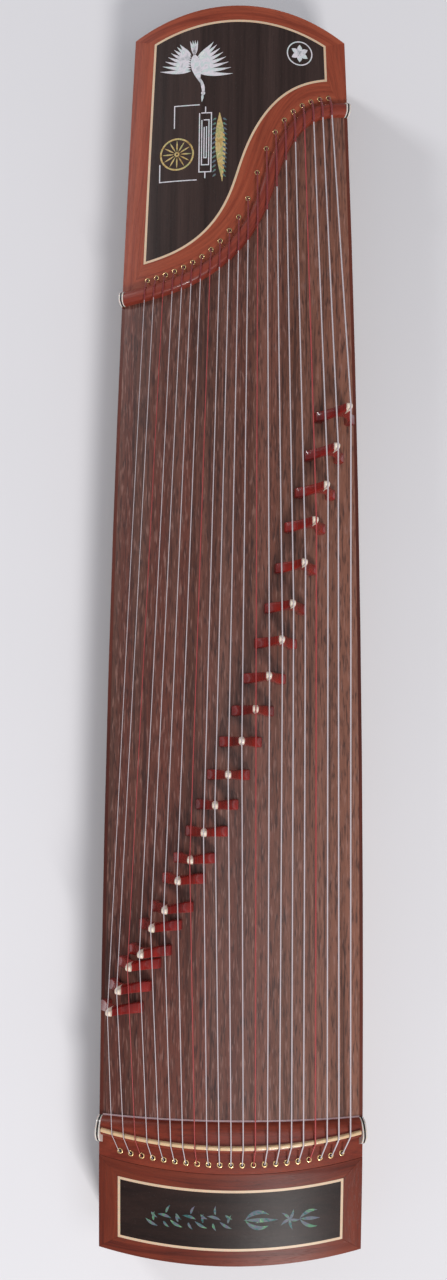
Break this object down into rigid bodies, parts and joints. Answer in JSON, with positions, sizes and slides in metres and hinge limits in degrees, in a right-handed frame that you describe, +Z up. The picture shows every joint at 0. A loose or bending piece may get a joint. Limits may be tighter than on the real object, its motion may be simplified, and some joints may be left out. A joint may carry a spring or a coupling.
{
  "type": "guzheng",
  "caption": "Long arched zither with movable bridges, an S-shaped tail nut, inlaid dark end panels and a lift-off lid over its tuning pins.",
  "frame": {"origin": "middle of the footprint on the surface that the feet stand on, in the playing position", "axes": "+X points along the body to the head end with the lid, -X to the tail with the S-shaped nut, -Y to the player and the treble string, +Z up"},
  "size_m": [1.63, 0.3374, 0.1852],
  "materials": {
    "soundboard": "dark stained paulownia with reddish streaks, satin lacquer",
    "side_wood": "dark red-brown hardwood, gloss lacquer",
    "frame_wood": "red-brown rosewood, semi-gloss lacquer",
    "panel_wood": "near-black blackwood with cream and shell inlay, polished",
    "inner_wood": "bare pale paulownia and maple",
    "bridge_wood": "dark red rosewood with a white bone tip, high gloss",
    "bone": "polished ivory-coloured bone",
    "cap_plates": "white, black and white layered plates, polished",
    "brass": "polished pale brass",
    "pin_steel": "nickel-plated steel",
    "string": "nylon-wound steel, white, every fifth or so red",
    "silk": "dark red silk winding"
  },
  "bodies": {
    "body": {"soundboard": "soundboard", "side_boards": "side_wood", "end_boards": "side_wood", "feet": "side_wood", "back_board": "inner_wood", "braces": "inner_wood", "pin_block": "inner_wood", "head_block": "frame_wood", "tail_frame": "frame_wood", "tail_nut": "frame_wood", "tail_panel": "panel_wood", "saddle": "bone", "end_caps": "cap_plates", "eyelets": "brass", "strings": "string", "string_wraps": "silk"},
    "lid": {"lid_frame": "frame_wood", "lid_panel": "panel_wood"},
    "bridge_01": {"bridge_01": "bridge_wood"},
    "bridge_02": {"bridge_02": "bridge_wood"},
    "bridge_03": {"bridge_03": "bridge_wood"},
    "bridge_04": {"bridge_04": "bridge_wood"},
    "bridge_05": {"bridge_05": "bridge_wood"},
    "bridge_06": {"bridge_06": "bridge_wood"},
    "bridge_07": {"bridge_07": "bridge_wood"},
    "bridge_08": {"bridge_08": "bridge_wood"},
    "bridge_09": {"bridge_09": "bridge_wood"},
    "bridge_10": {"bridge_10": "bridge_wood"},
    "bridge_11": {"bridge_11": "bridge_wood"},
    "bridge_12": {"bridge_12": "bridge_wood"},
    "bridge_13": {"bridge_13": "bridge_wood"},
    "bridge_14": {"bridge_14": "bridge_wood"},
    "bridge_15": {"bridge_15": "bridge_wood"},
    "bridge_16": {"bridge_16": "bridge_wood"},
    "bridge_17": {"bridge_17": "bridge_wood"},
    "bridge_18": {"bridge_18": "bridge_wood"},
    "bridge_19": {"bridge_19": "bridge_wood"},
    "bridge_20": {"bridge_20": "bridge_wood"},
    "bridge_21": {"bridge_21": "bridge_wood"},
    "tuning_pin_01": {"tuning_pin_01": "pin_steel"},
    "tuning_pin_02": {"tuning_pin_02": "pin_steel"},
    "tuning_pin_03": {"tuning_pin_03": "pin_steel"},
    "tuning_pin_04": {"tuning_pin_04": "pin_steel"},
    "tuning_pin_05": {"tuning_pin_05": "pin_steel"},
    "tuning_pin_06": {"tuning_pin_06": "pin_steel"},
    "tuning_pin_07": {"tuning_pin_07": "pin_steel"},
    "tuning_pin_08": {"tuning_pin_08": "pin_steel"},
    "tuning_pin_09": {"tuning_pin_09": "pin_steel"},
    "tuning_pin_10": {"tuning_pin_10": "pin_steel"},
    "tuning_pin_11": {"tuning_pin_11": "pin_steel"},
    "tuning_pin_12": {"tuning_pin_12": "pin_steel"},
    "tuning_pin_13": {"tuning_pin_13": "pin_steel"},
    "tuning_pin_14": {"tuning_pin_14": "pin_steel"},
    "tuning_pin_15": {"tuning_pin_15": "pin_steel"},
    "tuning_pin_16": {"tuning_pin_16": "pin_steel"},
    "tuning_pin_17": {"tuning_pin_17": "pin_steel"},
    "tuning_pin_18": {"tuning_pin_18": "pin_steel"},
    "tuning_pin_19": {"tuning_pin_19": "pin_steel"},
    "tuning_pin_20": {"tuning_pin_20": "pin_steel"},
    "tuning_pin_21": {"tuning_pin_21": "pin_steel"}
  },
  "joints": [
    {"name": "lid_lift", "type": "slide", "parent": "body", "child": "lid", "axis": [0, 0, 1], "range_m": [0, 0.08]},
    {"name": "bridge_01_slide", "type": "slide", "parent": "body", "child": "bridge_01", "axis": [1, 0, 0], "range_m": [-0.0057, 0.01], "deforming": ["strings"]},
    {"name": "bridge_02_slide", "type": "slide", "parent": "body", "child": "bridge_02", "axis": [1, 0, 0], "range_m": [-0.0067, 0.0057], "deforming": ["strings"]},
    {"name": "bridge_03_slide", "type": "slide", "parent": "body", "child": "bridge_03", "axis": [1, 0, 0], "range_m": [-0.0007, 0.0067], "deforming": ["strings"]},
    {"name": "bridge_04_slide", "type": "slide", "parent": "body", "child": "bridge_04", "axis": [1, 0, 0], "range_m": [-0.0082, 0.0007], "deforming": ["strings"]},
    {"name": "bridge_05_slide", "type": "slide", "parent": "body", "child": "bridge_05", "axis": [1, 0, 0], "range_m": [-0.0037, 0.0082], "deforming": ["strings"]},
    {"name": "bridge_06_slide", "type": "slide", "parent": "body", "child": "bridge_06", "axis": [1, 0, 0], "range_m": [-0.01, 0.0037], "deforming": ["strings"]},
    {"name": "bridge_07_slide", "type": "slide", "parent": "body", "child": "bridge_07", "axis": [1, 0, 0], "range_m": [-0.0052, 0.01], "deforming": ["strings"]},
    {"name": "bridge_08_slide", "type": "slide", "parent": "body", "child": "bridge_08", "axis": [1, 0, 0], "range_m": [-0.0092, 0.0052], "deforming": ["strings"]},
    {"name": "bridge_09_slide", "type": "slide", "parent": "body", "child": "bridge_09", "axis": [1, 0, 0], "range_m": [-0.0092, 0.0092], "deforming": ["strings"]},
    {"name": "bridge_10_slide", "type": "slide", "parent": "body", "child": "bridge_10", "axis": [1, 0, 0], "range_m": [-0.01, 0.0092], "deforming": ["strings"]},
    {"name": "bridge_11_slide", "type": "slide", "parent": "body", "child": "bridge_11", "axis": [1, 0, 0], "range_m": [-0.01, 0.01], "deforming": ["strings"]},
    {"name": "bridge_12_slide", "type": "slide", "parent": "body", "child": "bridge_12", "axis": [1, 0, 0], "range_m": [-0.01, 0.01], "deforming": ["strings"]},
    {"name": "bridge_13_slide", "type": "slide", "parent": "body", "child": "bridge_13", "axis": [1, 0, 0], "range_m": [-0.01, 0.01], "deforming": ["strings"]},
    {"name": "bridge_14_slide", "type": "slide", "parent": "body", "child": "bridge_14", "axis": [1, 0, 0], "range_m": [-0.01, 0.01], "deforming": ["strings"]},
    {"name": "bridge_15_slide", "type": "slide", "parent": "body", "child": "bridge_15", "axis": [1, 0, 0], "range_m": [-0.01, 0.01], "deforming": ["strings"]},
    {"name": "bridge_16_slide", "type": "slide", "parent": "body", "child": "bridge_16", "axis": [1, 0, 0], "range_m": [-0.01, 0.01], "deforming": ["strings"]},
    {"name": "bridge_17_slide", "type": "slide", "parent": "body", "child": "bridge_17", "axis": [1, 0, 0], "range_m": [-0.01, 0.01], "deforming": ["strings"]},
    {"name": "bridge_18_slide", "type": "slide", "parent": "body", "child": "bridge_18", "axis": [1, 0, 0], "range_m": [-0.01, 0.01], "deforming": ["strings"]},
    {"name": "bridge_19_slide", "type": "slide", "parent": "body", "child": "bridge_19", "axis": [1, 0, 0], "range_m": [-0.01, 0.01], "deforming": ["strings"]},
    {"name": "bridge_20_slide", "type": "slide", "parent": "body", "child": "bridge_20", "axis": [1, 0, 0], "range_m": [-0.01, 0.01], "deforming": ["strings"]},
    {"name": "bridge_21_slide", "type": "slide", "parent": "body", "child": "bridge_21", "axis": [1, 0, 0], "range_m": [-0.01, 0.01], "deforming": ["strings"]},
    {"name": "tuning_pin_01_turn", "type": "hinge", "parent": "body", "child": "tuning_pin_01", "pos_m": [0.736, -0.13056, 0.06], "axis": [0, 0, 1], "continuous": true},
    {"name": "tuning_pin_02_turn", "type": "hinge", "parent": "body", "child": "tuning_pin_02", "pos_m": [0.757, -0.1175, 0.06], "axis": [0, 0, 1], "continuous": true},
    {"name": "tuning_pin_03_turn", "type": "hinge", "parent": "body", "child": "tuning_pin_03", "pos_m": [0.778, -0.10445, 0.06], "axis": [0, 0, 1], "continuous": true},
    {"name": "tuning_pin_04_turn", "type": "hinge", "parent": "body", "child": "tuning_pin_04", "pos_m": [0.736, -0.09139, 0.06], "axis": [0, 0, 1], "continuous": true},
    {"name": "tuning_pin_05_turn", "type": "hinge", "parent": "body", "child": "tuning_pin_05", "pos_m": [0.757, -0.07834, 0.06], "axis": [0, 0, 1], "continuous": true},
    {"name": "tuning_pin_06_turn", "type": "hinge", "parent": "body", "child": "tuning_pin_06", "pos_m": [0.778, -0.06528, 0.06], "axis": [0, 0, 1], "continuous": true},
    {"name": "tuning_pin_07_turn", "type": "hinge", "parent": "body", "child": "tuning_pin_07", "pos_m": [0.736, -0.05222, 0.06], "axis": [0, 0, 1], "continuous": true},
    {"name": "tuning_pin_08_turn", "type": "hinge", "parent": "body", "child": "tuning_pin_08", "pos_m": [0.757, -0.03917, 0.06], "axis": [0, 0, 1], "continuous": true},
    {"name": "tuning_pin_09_turn", "type": "hinge", "parent": "body", "child": "tuning_pin_09", "pos_m": [0.778, -0.02611, 0.06], "axis": [0, 0, 1], "continuous": true},
    {"name": "tuning_pin_10_turn", "type": "hinge", "parent": "body", "child": "tuning_pin_10", "pos_m": [0.736, -0.01306, 0.06], "axis": [0, 0, 1], "continuous": true},
    {"name": "tuning_pin_11_turn", "type": "hinge", "parent": "body", "child": "tuning_pin_11", "pos_m": [0.757, 0, 0.06], "axis": [0, 0, 1], "continuous": true},
    {"name": "tuning_pin_12_turn", "type": "hinge", "parent": "body", "child": "tuning_pin_12", "pos_m": [0.778, 0.01306, 0.06], "axis": [0, 0, 1], "continuous": true},
    {"name": "tuning_pin_13_turn", "type": "hinge", "parent": "body", "child": "tuning_pin_13", "pos_m": [0.736, 0.02611, 0.06], "axis": [0, 0, 1], "continuous": true},
    {"name": "tuning_pin_14_turn", "type": "hinge", "parent": "body", "child": "tuning_pin_14", "pos_m": [0.757, 0.03917, 0.06], "axis": [0, 0, 1], "continuous": true},
    {"name": "tuning_pin_15_turn", "type": "hinge", "parent": "body", "child": "tuning_pin_15", "pos_m": [0.778, 0.05222, 0.06], "axis": [0, 0, 1], "continuous": true},
    {"name": "tuning_pin_16_turn", "type": "hinge", "parent": "body", "child": "tuning_pin_16", "pos_m": [0.736, 0.06528, 0.06], "axis": [0, 0, 1], "continuous": true},
    {"name": "tuning_pin_17_turn", "type": "hinge", "parent": "body", "child": "tuning_pin_17", "pos_m": [0.757, 0.07834, 0.06], "axis": [0, 0, 1], "continuous": true},
    {"name": "tuning_pin_18_turn", "type": "hinge", "parent": "body", "child": "tuning_pin_18", "pos_m": [0.778, 0.09139, 0.06], "axis": [0, 0, 1], "continuous": true},
    {"name": "tuning_pin_19_turn", "type": "hinge", "parent": "body", "child": "tuning_pin_19", "pos_m": [0.736, 0.10445, 0.06], "axis": [0, 0, 1], "continuous": true},
    {"name": "tuning_pin_20_turn", "type": "hinge", "parent": "body", "child": "tuning_pin_20", "pos_m": [0.757, 0.1175, 0.06], "axis": [0, 0, 1], "continuous": true},
    {"name": "tuning_pin_21_turn", "type": "hinge", "parent": "body", "child": "tuning_pin_21", "pos_m": [0.778, 0.13056, 0.06], "axis": [0, 0, 1], "continuous": true}
  ]
}
